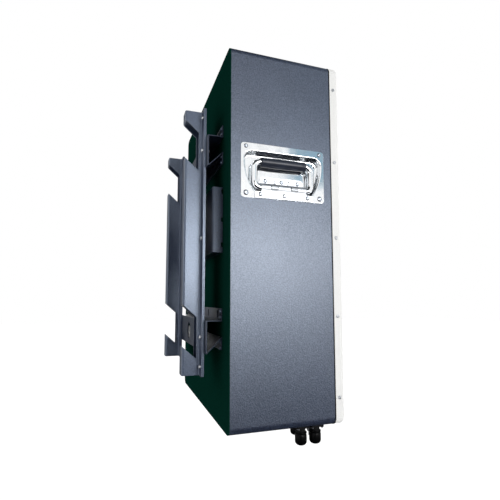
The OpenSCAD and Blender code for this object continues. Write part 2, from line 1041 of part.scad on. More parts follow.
module cell_separators() {
  color("#d9d4c0")
    for (s = [-1, 1], k = [1 : cells_per_stack - 1])
      translate([s * stack_x, 0, 0])
        cell_block(cell_z(k) - separator_t, separator_t, cell_front, cell_back);
}

module end_plates() {
  color("#b8bcc0")
    for (s = [-1, 1], z = [cell_low - end_plate_t, cell_high])
      translate([s * stack_x, 0, 0])
        cell_block(z, end_plate_t, cell_front, cell_back);
}

module cell_straps() {
  low = cell_low - end_plate_t;
  high = cell_high + end_plate_t;
  color("#9aa0a6")
    for (s = [-1, 1], y = strap_y)
      translate([s * stack_x, y, (low + high) / 2])
        difference() {
          cube([cell_w + 2 * strap_t, strap_w, high - low + 2 * strap_t], center = true);
          cube([cell_w, strap_w + 2, high - low], center = true);
        }
}

// Busbars step from cell to cell on alternate sides, and one joins the two stacks at the top
module busbars() {
  color("#c07a45") {
    for (s = [-1, 1], k = [0 : cells_per_stack - 2])
      translate([s * (stack_x + (k % 2 == 0 ? post_x : -post_x)), 0, cell_z(k) + cell_t / 2 + cell_pitch / 2])
        along_y(cell_front - post_h - busbar_t, cell_front - post_h)
          square([busbar_w, cell_pitch + busbar_w], center = true);
    translate([0, 0, cell_z(cells_per_stack - 1) + cell_t / 2])
      along_y(cell_front - post_h - busbar_t, cell_front - post_h)
        square([2 * (stack_x - post_x) + busbar_w, busbar_w], center = true);
  }
}

module back_insulation() {
  color("#c9c3a6")
    along_y(cell_back, back_y)
      translate([-shelf_half, shelf_z])
        square([2 * shelf_half, cell_high + end_plate_t - shelf_z]);
}

// Finned plate that carries the protection board
module heat_plate() {
  fin_pitch = (heat_plate_w - heat_fin_t) / (heat_fins - 1);
  color("#aab0b6")
    translate([0, 0, heat_plate_low])
      along_z(0, heat_plate_h) {
        translate([-heat_plate_w / 2, back_y - heat_fin_h - heat_base_t])
          square([heat_plate_w, heat_base_t]);
        for (k = [0 : heat_fins - 1])
          translate([-heat_plate_w / 2 + k * fin_pitch, back_y - heat_fin_h])
            square([heat_fin_t, heat_fin_h]);
      }
}

board_back = back_y - heat_fin_h - heat_base_t - spacer_l;
board_mid_z = heat_plate_low + heat_plate_h / 2;

module protection_board() {
  color("#1f6a3e") {
    translate([0, 0, board_mid_z])
      along_y(board_back - pcb_t, board_back)
        square([board_w, board_h], center = true);
    for (k = [-5 : 5])
      translate([k * 24, board_back - pcb_t - 4, board_mid_z + 20])
        cube([15, 10, 10], center = true);
    for (k = [-1, 0, 1])
      translate([k * 60, 0, board_mid_z - 14])
        bar_y(board_back - pcb_t - 18, board_back - 1, 18);
  }
}

module board_spacers() {
  color("#c8b878")
    for (sx = [-1, 1], sz = [-1, 1])
      translate([sx * (board_w / 2 - 8), 0, board_mid_z + sz * (board_h / 2 - 8)])
        bar_y(board_back, board_back + spacer_l, spacer_d);
}

// Bolted fuse on a moulded base
module main_fuse() {
  color("#4a3a34")
    translate([fuse_at[0], fuse_at[1], sheet]) {
      translate([-fuse_base[0] / 2, -fuse_base[1] / 2, 0])
        cube(fuse_base);
      for (s = [-1, 1])
        translate([s * fuse_base[0] / 3, 0, 0])
          cylinder(h = fuse_base[2] + 14, d = 10);
      translate([0, 0, fuse_base[2] + 6])
        bar_x(-fuse_base[0] / 3, fuse_base[0] / 3, 20);
    }
}

place() case_wrap();
place() back_panel();
place() front_cover();
place() cover_seal();
place() cover_screws();
place() display_window();
place() display_board();
place() handle_dish(-1);  // handle_dish_left
place() handle_dish(1);  // handle_dish_right
place() handle_hinge(-1);  // handle_hinge_left
place() handle_hinge(1);  // handle_hinge_right
place() handle_bail(-1);  // handle_bail_left
place() handle_bail(1);  // handle_bail_right
place() handle_grip(-1);  // handle_grip_left
place() handle_grip(1);  // handle_grip_right
place() handle_springs(-1);  // handle_springs_left
place() handle_springs(1);  // handle_springs_right
place() handle_rivets();
place() hook_rail(-1);  // hook_rail_left
place() hook_rail(1);  // hook_rail_right
place() mounting_strip(-1);  // mounting_strip_left
place() mounting_strip(1);  // mounting_strip_right
place() cross_member(upper_member_z);  // upper_cross_member
place() cross_member(lower_member_z);  // lower_cross_member
place() back_tray();
place() strip_bolts();
place() strip_nuts();
place() member_screws();
place() socket(power_sockets[0]);  // socket_positive
place() socket(power_sockets[1]);  // socket_negative
place() socket([signal_x, signal_y]);  // socket_signal
place() socket_caps();
place() socket_screws();
place() earth_stud();
place() earth_nuts();
place() button_body();
place() button_nut();
place() button_plunger();
place() cell_shelf();
place() cell_pads();
place() cell_stack(-1);  // cell_stack_left
place() cell_stack(1);  // cell_stack_right
place() cell_separators();
place() end_plates();
place() cell_straps();
place() busbars();
place() back_insulation();
place() heat_plate();
place() protection_board();
place() board_spacers();
place() main_fuse();
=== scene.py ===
"""Looks of the wall battery box: its finishes, small hardware, floor, light and camera."""
import json
import math

import bmesh
import bpy
from mathutils import Matrix, Vector


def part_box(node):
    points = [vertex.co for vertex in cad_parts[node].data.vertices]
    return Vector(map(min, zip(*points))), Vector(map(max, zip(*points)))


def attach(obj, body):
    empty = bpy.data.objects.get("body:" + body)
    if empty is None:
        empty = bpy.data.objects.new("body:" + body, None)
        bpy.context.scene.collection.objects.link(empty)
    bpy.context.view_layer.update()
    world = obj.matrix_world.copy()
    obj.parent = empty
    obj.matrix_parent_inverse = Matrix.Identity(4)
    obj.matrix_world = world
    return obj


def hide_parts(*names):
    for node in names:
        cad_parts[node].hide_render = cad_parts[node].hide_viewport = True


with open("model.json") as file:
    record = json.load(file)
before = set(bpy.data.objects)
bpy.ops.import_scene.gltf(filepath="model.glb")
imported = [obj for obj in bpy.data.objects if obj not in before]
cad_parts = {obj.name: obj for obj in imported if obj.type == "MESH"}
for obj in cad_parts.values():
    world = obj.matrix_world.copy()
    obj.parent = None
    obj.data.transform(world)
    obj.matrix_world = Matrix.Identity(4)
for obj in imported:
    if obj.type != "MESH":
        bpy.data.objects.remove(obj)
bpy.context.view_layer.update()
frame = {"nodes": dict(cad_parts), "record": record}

nodes = frame["nodes"]

# Millimetres in the box frame: x across, y 0 at the back panel, z 0 at the underside
MM = 0.001
WALL_Y, ROW_Z = 68, 365             # origin of the wall frame
HALF_WIDTH, HEIGHT, BEND = 232, 700, 14
JOINT_Y = -204.75                   # middle of the joint between case and cover
COVER_SCREW_Y = -213.5
HANDLE_Y, HANDLE_Z = -104, 466      # middle of a handle plate
LIP_Y = 35                          # wall side of the rail lips


def in_row(x, y, z):
    """A point of the box frame in millimetres, moved to the wall frame in metres."""
    return Vector((x, y - WALL_Y, z - ROW_Z)) * MM


# Node trees

class Value:
    """A socket of a finish; arithmetic on it adds Math nodes."""

    def __init__(self, finish, socket):
        self.finish = finish
        self.socket = socket

    def math(self, operation, *values):
        settings = {"operation": operation}
        return self.finish.node("ShaderNodeMath", settings, dict(enumerate(values)))

    def __add__(self, other):
        return self.math("ADD", self, other)

    def __sub__(self, other):
        return self.math("SUBTRACT", self, other)

    def __rsub__(self, other):
        return self.math("SUBTRACT", other, self)

    def __mul__(self, other):
        return self.math("MULTIPLY", self, other)

    def __lt__(self, other):
        return self.math("LESS_THAN", self, other)

    def __abs__(self):
        return self.math("ABSOLUTE", self)

    __radd__ = __add__
    __rmul__ = __mul__


class Finish:
    """The node tree of one material, or of the world."""

    def __init__(self, owner):
        owner.use_nodes = True
        self.owner = owner
        self.tree = owner.node_tree
        self.tree.nodes.clear()

    def node(self, kind, settings=None, inputs=None, out=0):
        made = self.tree.nodes.new(kind)
        for key, value in (settings or {}).items():
            if key == "stops":
                while len(made.color_ramp.elements) < len(value):
                    made.color_ramp.elements.new(1)
                for element, (position, grey) in zip(made.color_ramp.elements, value):
                    element.position = position
                    element.color = (grey, grey, grey, 1)
            else:
                setattr(made, key, value)
        for key, value in (inputs or {}).items():
            if isinstance(value, Value):
                self.tree.links.new(value.socket, made.inputs[key])
            else:
                made.inputs[key].default_value = value
        return Value(self, made.outputs[out])

    def place(self, stretch=(1, 1, 1), turn=(0, 0, 0)):
        where = self.node("ShaderNodeTexCoord", out="Object")
        return self.node("ShaderNodeMapping", None, {
            "Vector": where, "Rotation": turn, "Scale": stretch})

    def noise(self, scale, detail=2.0, rough=0.5, stretch=(1, 1, 1)):
        return self.node("ShaderNodeTexNoise", None, {
            "Vector": self.place(stretch), "Scale": scale, "Detail": detail, "Roughness": rough})

    def ramp(self, value, *stops):
        return self.node("ShaderNodeValToRGB", {"stops": stops}, {"Fac": value})

    def mix(self, share, first, second):
        return self.node("ShaderNodeMix", {"data_type": "RGBA"}, {0: share, 6: first, 7: second}, out=2)

    def rounded(self, radius):
        """Normal of the surface with its sharp edges eased by radius."""
        return self.node("ShaderNodeBevel", {"samples": 6}, {"Radius": radius})

    def edges(self, eased):
        """1 along the sharp edges, 0 on the flats."""
        flat = self.node("ShaderNodeNewGeometry", out="Normal")
        along = self.node("ShaderNodeVectorMath", {"operation": "DOT_PRODUCT"},
                          {0: eased, 1: flat}, out="Value")
        return self.ramp(1 - along, (0.02, 0), (0.18, 1))

    def bump(self, height, distance, strength=1.0, under=None):
        inputs = {"Height": height, "Distance": distance, "Strength": strength}
        if under:
            inputs["Normal"] = under
        return self.node("ShaderNodeBump", None, inputs)

    def surface(self, **sockets):
        inputs = {key.replace("_", " "): value for key, value in sockets.items()}
        return self.close(self.node("ShaderNodeBsdfPrincipled", None, inputs))

    def close(self, shader, kind="ShaderNodeOutputMaterial"):
        made = self.tree.nodes.new(kind)
        self.tree.links.new(shader.socket, made.inputs["Surface"])
        return self.owner


def paint(red, green, blue):
    """A colour as seen on a screen, 0 to 255, as linear values."""
    def linear(level):
        level /= 255
        return level / 12.92 if level <= 0.04045 else ((level + 0.055) / 1.055) ** 2.4
    return (linear(red), linear(green), linear(blue), 1)


def darker(tint, share):
    return tuple(channel * share for channel in tint[:3]) + (1,)


def material(name):
    return Finish(bpy.data.materials.new(name))


# Finishes

def powder_coat(name, dark, light, rough, gloss, peel, worn=0.25, index=1.5, sheen=(1, 1, 1, 1), flake=0):
    """Sanded powder coat: a fine grain over a coarser peel, in colour and height, with paler rubbed edges."""
    f = material(name)
    eased = f.rounded(0.0007)
    fine = f.noise(1500, rough=0.6)
    coarse = f.noise(430, detail=1.5)
    cloud = f.noise(9, detail=3.0)
    speckle = f.ramp(fine * 0.4 + coarse * 0.6, (0.38, 0), (0.62, 1))
    colour = f.mix(speckle * 0.75 + cloud * 0.25, dark, light)
    rub = f.edges(eased) * f.ramp(f.noise(60, detail=4.0), (0.35, 0), (0.7, 1)) * worn
    pale = tuple(0.5 * channel + 0.25 for channel in light[:3]) + (1,)
    return f.surface(
        Base_Color=f.mix(rub, colour, pale),
        Roughness=rough + (coarse - 0.5) * 0.1 + (cloud - 0.5) * 0.16,
        Specular_IOR_Level=gloss,
        Specular_Tint=sheen,
        IOR=index,
        Coat_Weight=speckle * flake if flake else 0,
        Coat_Roughness=rough,
        Normal=f.bump(coarse + fine * 0.5, peel, under=eased))


def bright_plate(name, tint, rough, scratch, stretch=(1, 1, 1)):
    """Plated or bare metal: fine scratches, wiped smudges and eased edges."""
    f = material(name)
    eased = f.rounded(0.0004)
    lines = f.noise(180, detail=3.0, rough=0.6, stretch=stretch)
    smudge = f.ramp(f.noise(38, detail=4.0, rough=0.6), (0.42, 0), (0.72, 1))
    return f.surface(
        Base_Color=f.mix(smudge * 0.5, tint, darker(tint, 0.78)),
        Metallic=1.0,
        Roughness=rough + smudge * 0.1 + lines * 0.05,
        Normal=f.bump(lines, scratch, 0.6, eased))


def moulded(name, dark, light, rough, grain, depth, gloss=0.5):
    """Moulded rubber or plastic with a fine skin grain and handling marks."""
    f = material(name)
    eased = f.rounded(0.0005)
    skin = f.noise(grain)
    worn = f.ramp(f.noise(45, detail=4.0), (0.4, 0), (0.75, 1))
    return f.surface(
        Base_Color=f.mix(worn * 0.5 + skin * 0.3, dark, light),
        Roughness=rough + (skin - 0.5) * 0.12 - worn * 0.08,
        Specular_IOR_Level=gloss,
        Normal=f.bump(skin, depth, under=eased))


def threaded(name, tint, pitch):
    """Plated stud whose thread shows as fine rings along its length."""
    f = material(name)
    wave = f.node("ShaderNodeTexWave", {"bands_direction": "Z"}, {
        "Vector": f.place(), "Scale": 0.314 / pitch, "Distortion": 0.0})
    stain = f.noise(150, detail=3.0)
    return f.surface(
        Base_Color=f.mix(f.ramp(stain, (0.4, 0), (0.8, 1)), tint, darker(tint, 0.55)),
        Metallic=1.0,
        Roughness=0.24 + stain * 0.2,
        Normal=f.bump(wave, 0.0004))


def smoked_window():
    """Smoked acrylic with a slightly paler panel where the screen lies behind it."""
    half_width, half_height = 44 * MM, 23 * MM
    f = material("smoked_window")
    across = f.node("ShaderNodeSeparateXYZ", None, {0: f.place()}, out="X")
    up = f.node("ShaderNodeSeparateXYZ", None, {0: f.place()}, out="Z")
    low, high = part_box("display_window")
    middle = (low + high) / 2
    screen = (abs(across - middle.x) < half_width) * (abs(up - middle.z) < half_height)
    return f.surface(
        Base_Color=f.mix(screen, paint(10, 11, 13), paint(30, 38, 42)),
        Roughness=0.12 + f.noise(700) * 0.08,
        Specular_IOR_Level=0.12,
        Normal=f.bump(f.noise(14, detail=1.0), 0.0001, 0.3))


def circuit_board():
    """Green solder mask with copper tracks showing through."""
    f = material("circuit_board")
    bricks = f.node("ShaderNodeTexBrick", None, {
        "Vector": f.place(turn=(math.radians(90), 0, 0)), "Scale": 160.0, "Mortar Size": 0.03})
    tracks = f.node("ShaderNodeSeparateColor", None, {0: bricks})
    shade = f.noise(60, detail=3.0)
    mask = f.mix(shade, paint(18, 70, 42), paint(34, 104, 62))
    return f.surface(
        Base_Color=f.mix(tracks * 0.3, mask, paint(150, 130, 60)),
        Roughness=0.3 + shade * 0.2,
        Normal=f.bump(shade, 0.0002, 0.4))


COOL = (0.72, 0.83, 1, 1)

finishes = {
    "case_paint": powder_coat(
        "case_coat", paint(17, 21, 33), paint(57, 66, 90),
        rough=0.34, gloss=1.0, peel=0.00034, index=1.65, sheen=COOL, flake=0.85),
    # The back panel's near-black green is painted shade and a painted green reflection of the surroundings,
    # put into a matte base colour
    "back_paint": powder_coat(
        "back_painted_shade", paint(6, 45, 37), paint(11, 57, 47), rough=0.4, gloss=0.0, peel=0.00004, worn=0.1),
    "cover_paint": powder_coat(
        "cover_coat", paint(244, 244, 242), paint(252, 252, 250),
        rough=0.55, gloss=0.4, peel=0.00006, worn=0.0),
    "bracket_paint": powder_coat(
        "bracket_coat", paint(34, 42, 62), paint(62, 73, 98),
        rough=0.33, gloss=1.0, peel=0.00014, index=1.7, sheen=COOL),
    "shelf_paint": powder_coat(
        "shelf_primer", paint(96, 100, 108), paint(120, 124, 132), rough=0.6, gloss=0.4, peel=0.0001),
    "handle_chrome": bright_plate("handle_chrome", paint(246, 248, 250), 0.05, 0.00001),
    "rivet_steel": bright_plate("rivet_steel", paint(186, 192, 202), 0.12, 0.00002),
    "spring_steel": bright_plate("spring_wire", paint(232, 235, 239), 0.34, 0.00002),
    "screw_zinc": bright_plate("screw_zinc", paint(220, 222, 226), 0.38, 0.00002),
    "strap_steel": bright_plate("strap_band", paint(164, 168, 174), 0.3, 0.00002, (1, 8, 1)),
    "button_steel": bright_plate("button_steel", paint(190, 194, 198), 0.2, 0.00002),
    "grip_rubber": moulded("grip_rubber", paint(30, 34, 46), paint(52, 58, 74), 0.36, 1400, 0.00004),
    "seal_rubber": moulded("seal_foam", paint(14, 14, 15), paint(26, 26, 28), 0.8, 1800, 0.0001, 0.3),
    "cap_rubber": moulded("cap_rubber", paint(3, 3, 4), paint(8, 8, 10), 0.36, 1300, 0.00003, 0.12),
    "socket_plastic": moulded(
        "socket_plastic", paint(8, 8, 10), paint(18, 19, 22), 0.45, 1200, 0.00003, 0.25),
    "fuse_plastic": moulded("fuse_plastic", paint(60, 44, 38), paint(82, 64, 56), 0.5, 900, 0.00003),
    "insulation_board": moulded("laminate", paint(190, 182, 150), paint(214, 206, 176), 0.6, 500, 0.00004),
    "cell_film": moulded("cell_film", paint(24, 70, 140), paint(46, 100, 176), 0.22, 300, 0.00006),
    "window_gloss": smoked_window(),
    "circuit_board": circuit_board(),
    "stud_zinc": threaded("stud_thread", paint(206, 209, 213), 1 * MM),
    "busbar_copper": bright_plate("busbar_copper", paint(200, 124, 82), 0.25, 0.00002),
    "plate_aluminium": bright_plate("plate_aluminium", paint(190, 194, 198), 0.35, 0.00003, (1, 1, 10)),
}

# The steel between the rails gets a darker, duller copy of the rails' coat: painted shade for the shadow that
# falls between the rails
painted_shade_coat = powder_coat(
    "painted_shade_coat", paint(18, 23, 37), paint(36, 46, 68),
    rough=0.36, gloss=0.6, peel=0.00014, worn=0.2, sheen=COOL)
inner_steel = ("upper_cross_member", "lower_cross_member", "back_tray")

for sub in frame["record"]["subparts"]:
    mesh = nodes[sub["node"]].data
    mesh.materials.clear()
    mesh.materials.append(painted_shade_coat if sub["node"] in inner_steel else finishes[sub["material_slot"]])


# New pieces

def piece(name, bm, slot, body, *stands_for, sharp=40):
    """Makes the mesh a piece that rides on a body, smooth but for edges sharper than sharp degrees."""
    bmesh.ops.remove_doubles(bm, verts=bm.verts, dist=1e-6)
    bmesh.ops.recalc_face_normals(bm, faces=bm.faces)
    for face in bm.faces:
        face.smooth = True
    for edge in bm.edges:
        edge.smooth = edge.calc_face_angle(0) < math.radians(sharp)
    mesh = bpy.data.meshes.new(name)
    bm.to_mesh(mesh)
    bm.free()
    made = bpy.data.objects.new(name, mesh)
    bpy.context.scene.collection.objects.link(made)
    mesh.materials.append(finishes[slot])
    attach(made, body)
    if stands_for:
        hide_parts(*stands_for)


def added(bm, before):
    """The vertices made since before was taken."""
    return [vert for vert in bm.verts if vert not in before]


def touching(items, verts):
    """The edges or faces, in mesh order, that use any of the vertices."""
    chosen = set(verts)
    return [item for item in items if not chosen.isdisjoint(item.verts)]


def of_kind(geom, kind):
    return [item for item in geom if isinstance(item, kind)]


def verts_of(geom):
    return of_kind(geom, bmesh.types.BMVert)


def edges_of(geom):
    return of_kind(geom, bmesh.types.BMEdge)


def line(bm, points):
    """A run of edges through the points."""
    verts = [bm.verts.new(point) for point in points]
    return verts + [bm.edges.new(pair) for pair in zip(verts, verts[1:])]


def grown(bm, edges):
    """Extrudes the edges and gives the new vertices and the new edges between them."""
    made = bmesh.ops.extrude_edge_only(bm, edges=edges)["geom"]
    ends = verts_of(made)
    return ends, [edge for edge in edges_of(made) if all(vert in ends for vert in edge.verts)]


def turned(bm, outline, steps, place):
    """Spins an outline of (radius, height) in millimetres about its own z, then puts it in place."""
    before = set(bm.verts)
    run = line(bm, [Vector((radius, 0, height)) * MM for radius, height in outline])
    bmesh.ops.spin(bm, geom=run, cent=(0, 0, 0), axis=(0, 0, 1), dvec=(0, 0, 0),
                   angle=math.tau, steps=steps, use_merge=True)
    bmesh.ops.remove_doubles(bm, verts=added(bm, before), dist=1e-6)
    bmesh.ops.transform(bm, matrix=place, verts=added(bm, before))


def upward(face):
    return face.normal.z * face.calc_area()


def sideways(face):
    return face.normal.x * face.calc_center_median().x


def thicken(bm, sheet, facing):
    """Turns an open sheet so that facing adds up above zero, then gives it thickness behind that face."""
    bmesh.ops.recalc_face_normals(bm, faces=bm.faces)
    if sum(facing(face) for face in bm.faces) < 0:
        bmesh.ops.reverse_faces(bm, faces=bm.faces)
    bmesh.ops.solidify(bm, geom=bm.faces, thickness=sheet * MM)


def round_off(bm, geom, offset, segments, affect):
    bmesh.ops.bevel(bm, geom=geom, offset=offset * MM, segments=segments, profile=0.5,
                    affect=affect, material=-1)


# Carrying handles, in millimetres: x along the depth, y up, z out of the case

AXIS_Y, AXIS_Z, REACH = -30, -2.5, 48       # the bail's axis, and from there to its grip
PLATE, PLATE_SHEET = (168, 102), 1.2


def side_frame(side):
    """Frame of the handle on one side."""
    return Matrix.Translation(in_row(side * HALF_WIDTH, HANDLE_Y, HANDLE_Z)) @ Matrix((
        (0, 0, side, 0), (1, 0, 0, 0), (0, 1, 0, 0), (0, 0, 0, 1)))


def grip(side, word):
    """Rubber sleeve with rolled ends and a slight swell in the middle."""
    half, bore, sleeve, swell, straight, rows = 45.5, 6, 9.0, 0.45, 40, 8
    end = [(bore, 0.4), (8.0, 0.4), (8.9, 0.9), (9.2, 2.0), (9.2, 4.5), (8.9, 5.2)]
    outline = [(r, h - half) for r, h in end]
    for k in range(-rows, rows + 1):
        along = k / rows
        outline.append((sleeve + swell * (1 - along * along), along * straight))
    outline += [(r, half - h) for r, h in reversed(end)] + outline[:1]
    bm = bmesh.new()
    middle = Matrix.Translation(Vector((0, AXIS_Y + REACH, AXIS_Z)) * MM)
    turned(bm, outline, 40, side_frame(side) @ middle @ Matrix.Rotation(math.radians(90), 4, "Y"))
    piece("grip_sleeve_" + word, bm, "grip_rubber", "handle_" + word, "handle_grip_" + word)


def torsion_springs(side, word):
    """Two round-wire coils on the bail stubs, each with a leg hooked over the back leaf."""
    wire, coil, pitch, turns, steps, start, leg = 0.95, 7.6, 2.0, 6, 20, 14, 13
    lean, hook = math.radians(15), math.radians(-120)
    axis = Vector((0, AXIS_Y, AXIS_Z)) * MM
    along = Vector((0, math.cos(lean), math.sin(lean)))
    foot = axis + Vector((start, coil * math.sin(lean), -coil * math.cos(lean))) * MM
    knee = foot + along * leg * MM
    upright = Matrix.Translation(foot) @ along.to_track_quat("Z", "X").to_matrix().to_4x4()
    bm = bmesh.new()
    for hand in (1, -1):
        before = set(bm.verts)
        ring = bmesh.ops.create_circle(bm, segments=12, radius=wire * MM)["verts"]
        hoop = touching(bm.edges, ring)
        bmesh.ops.transform(bm, matrix=upright, verts=ring)
        tip, rim = grown(bm, hoop)
        bmesh.ops.translate(bm, verts=tip, vec=knee - foot)
        tip = bmesh.ops.spin(bm, geom=tip + rim, cent=knee + Vector((0, 0.7, -2.4)) * MM, axis=(1, 0, 0),
                             dvec=(0, 0, 0), angle=hook, steps=10, use_merge=False)["geom_last"]
        bmesh.ops.contextual_create(bm, geom=edges_of(tip))
        end = bmesh.ops.spin(bm, geom=ring + hoop, cent=axis, axis=(1, 0, 0), dvec=(pitch / steps * MM, 0, 0),
                             angle=-math.tau * turns, steps=steps * turns, use_merge=False)["geom_last"]
        bmesh.ops.contextual_create(bm, geom=edges_of(end))
        bmesh.ops.scale(bm, vec=(hand, 1, 1), verts=added(bm, before))
    bmesh.ops.transform(bm, matrix=side_frame(side), verts=bm.verts)
    piece("torsion_springs_" + word, bm, "spring_steel", "box", "handle_springs_" + word)


def pressed_dish(side, word):
    """Chrome plate pressed into a dish: rolled rim, wall and floor fillet swept round the mouth."""
    depth, roll, fillet, land = 12.5, 2.5, 5.0, 0.6
    arc = [math.radians(15 * k) for k in range(7)]
    section = [(roll + land, PLATE_SHEET)]
    section += [(roll - roll * math.sin(a), PLATE_SHEET - roll + roll * math.cos(a)) for a in arc]
    section += [(fillet * math.cos(a) - fillet, fillet - depth - fillet * math.sin(a)) for a in arc]
    section += [(-fillet - land, -depth)]
    mouth_y, foot_r, side_r, side_x, head_x, head_y = -39, 12, 100, 23, 62, 21
    foot_y = mouth_y + foot_r
    lean = math.asin((head_y - foot_y) / (side_r - foot_r))
    foot_x = (side_r - foot_r) * math.cos(lean) - side_x
    quarter = math.pi / 2
    bm = bmesh.new()
    front = line(bm, [Vector((0, mouth_y - d, z)) * MM for d, z in section])

    def straight(length):
        ends, edges = grown(bm, edges_of(front))
        bmesh.ops.translate(bm, verts=ends, vec=(length * MM, 0, 0))
        front[:] = ends + edges

    def bend(x, y, angle, steps):
        front[:] = bmesh.ops.spin(bm, geom=front, cent=(x * MM, y * MM, 0), axis=(0, 0, 1), dvec=(0, 0, 0),
                                  angle=angle, steps=steps, use_merge=False)["geom_last"]

    straight(foot_x)
    bend(foot_x, foot_y, quarter - lean, 8)
    bend(-side_x, head_y, lean, 14)
    bend(head_x, head_y, quarter, 12)
    straight(-2 * head_x)
    bend(-head_x, head_y, quarter, 12)
    bend(side_x, head_y, lean, 14)
    bend(-foot_x, foot_y, quarter - lean, 8)
    straight(foot_x)
    bmesh.ops.remove_doubles(bm, verts=bm.verts, dist=1e-6)

    low = min(vert.co.z for vert in bm.verts) + 1e-6
    high = max(vert.co.z for vert in bm.verts) - 1e-6
    floor_loop = [e for e in bm.edges if e.is_boundary and all(v.co.z < low for v in e.verts)]
    rim_loop = [e for e in bm.edges if e.is_boundary and all(v.co.z > high for v in e.verts)]
    bmesh.ops.contextual_create(bm, geom=floor_loop)
    before = set(bm.verts)
    spread = Matrix.Diagonal((PLATE[0] * MM, PLATE[1] * MM, 1, 1))
    bmesh.ops.create_grid(bm, x_segments=20, y_segments=12, size=0.5,
                          matrix=Matrix.Translation((0, 0, PLATE_SHEET * MM)) @ spread)
    corners = [vert for vert in added(bm, before) if len(vert.link_edges) == 2]
    round_off(bm, corners, 6, 8, "VERTICES")
    plate = added(bm, before)
    outer = [edge for edge in touching(bm.edges, plate) if edge.is_boundary]
    kept = {vert for edge in outer for vert in edge.verts}
    bmesh.ops.delete(bm, geom=touching(bm.faces, plate), context="FACES_ONLY")
    bmesh.ops.delete(bm, geom=[vert for vert in plate if vert not in kept], context="VERTS")
    bmesh.ops.bridge_loops(bm, edges=outer + rim_loop)
    thicken(bm, PLATE_SHEET, upward)
    bmesh.ops.transform(bm, matrix=side_frame(side), verts=bm.verts)
    piece("pressed_dish_" + word, bm, "handle_chrome", "box", "handle_dish_" + word, sharp=35)


def knuckle_saddle(side, word):
    """Hinge sheet: a front leaf that curls over the bail stubs and runs out as a back leaf on the dish."""
    outer, sheet = 8.0, 1.9
    half, roll_x, leaf_x, near_x, far_x = 58, 45, 44, 12.4, 27.6    # ends, and the spring windows
    front = [(-50.5, 3.2), (-39.6, 3.2), (-39.0, 3.2), (-36.4, 3.5)]
    curl = [(AXIS_Y + outer * math.cos(math.radians(a)), AXIS_Z + outer * math.sin(math.radians(a)))
            for a in range(120, -31, -15)]
    back = [(-22.2, -8.4), (-20.6, -9.7), (-18.5, -10.3), (-18.0, -10.28), (-7.0, -9.75)]
    stops = (-half, -roll_x, -leaf_x, -far_x, -near_x, near_x, far_x, leaf_x, roll_x, half)
    bm = bmesh.new()
    edges = edges_of(line(bm, [Vector((-half, y, z)) * MM for y, z in front + curl + back]))
    for here, there in zip(stops, stops[1:]):
        ends, edges = grown(bm, edges)
        bmesh.ops.translate(bm, verts=ends, vec=((there - here) * MM, 0, 0))

    def spare(face):
        middle = face.calc_center_median() / MM
        x, y = abs(middle.x), middle.y
        if y > -18.6:
            return x > leaf_x
        return y > -38.9 and x > roll_x or y > -34.5 and near_x < x < far_x

    bmesh.ops.delete(bm, geom=[face for face in bm.faces if spare(face)], context="FACES")
    tips = [vert for vert in bm.verts if len(vert.link_edges) == 2]
    back_tips = [vert for vert in tips if vert.co.y > -8 * MM]
    front_tips = [vert for vert in tips if vert.co.y < -50 * MM]
    round_off(bm, back_tips, 5.5, 6, "VERTICES")
    round_off(bm, front_tips, 1.5, 3, "VERTICES")
    thicken(bm, sheet, upward)
    bmesh.ops.transform(bm, matrix=side_frame(side), verts=bm.verts)
    piece("knuckle_saddle_" + word, bm, "spring_steel", "box", "handle_hinge_" + word, sharp=35)


def pop_rivets():
    """Domed rivet heads with the shallow dimple left by the pulled pin."""
    dome = [(0, 1.25), (0.20, 1.26), (0.26, 1.34), (0.34, 1.38), (0.42, 1.36), (0.54, 1.2), (0.68, 0.92),
            (0.82, 0.58), (0.93, 0.26), (1, 0.08), (1, 0), (0, 0)]     # share of the radius, height
    heads = [(s * 74.5, y, PLATE_SHEET, d) for s in (-1, 1) for y, d in ((44.5, 8.0), (-42.5, 10.0))]
    heads += [(x, -44.0, 3.2, 8.4) for x in (-47.5, 0, 47.5)]
    heads += [(x, -14.0, -10.1, 8.4) for x in (-33, 0, 33)]
    bm = bmesh.new()
    for side in (-1, 1):
        for x, y, z, wide in heads:
            outline = [(share * wide / 2, height) for share, height in dome]
            turned(bm, outline, 24, side_frame(side) @ Matrix.Translation(Vector((x, y, z)) * MM))
    piece("pop_rivet_heads", bm, "rivet_steel", "box", "handle_rivets", sharp=50)


for side, word in ((-1, "left"), (1, "right")):
    grip(side, word)
    torsion_springs(side, word)
    pressed_dish(side, word)
    knuckle_saddle(side, word)
pop_rivets()


# Screws, bolts, seal and caps

TO_WALL = Matrix.Rotation(math.radians(-90), 4, "X")


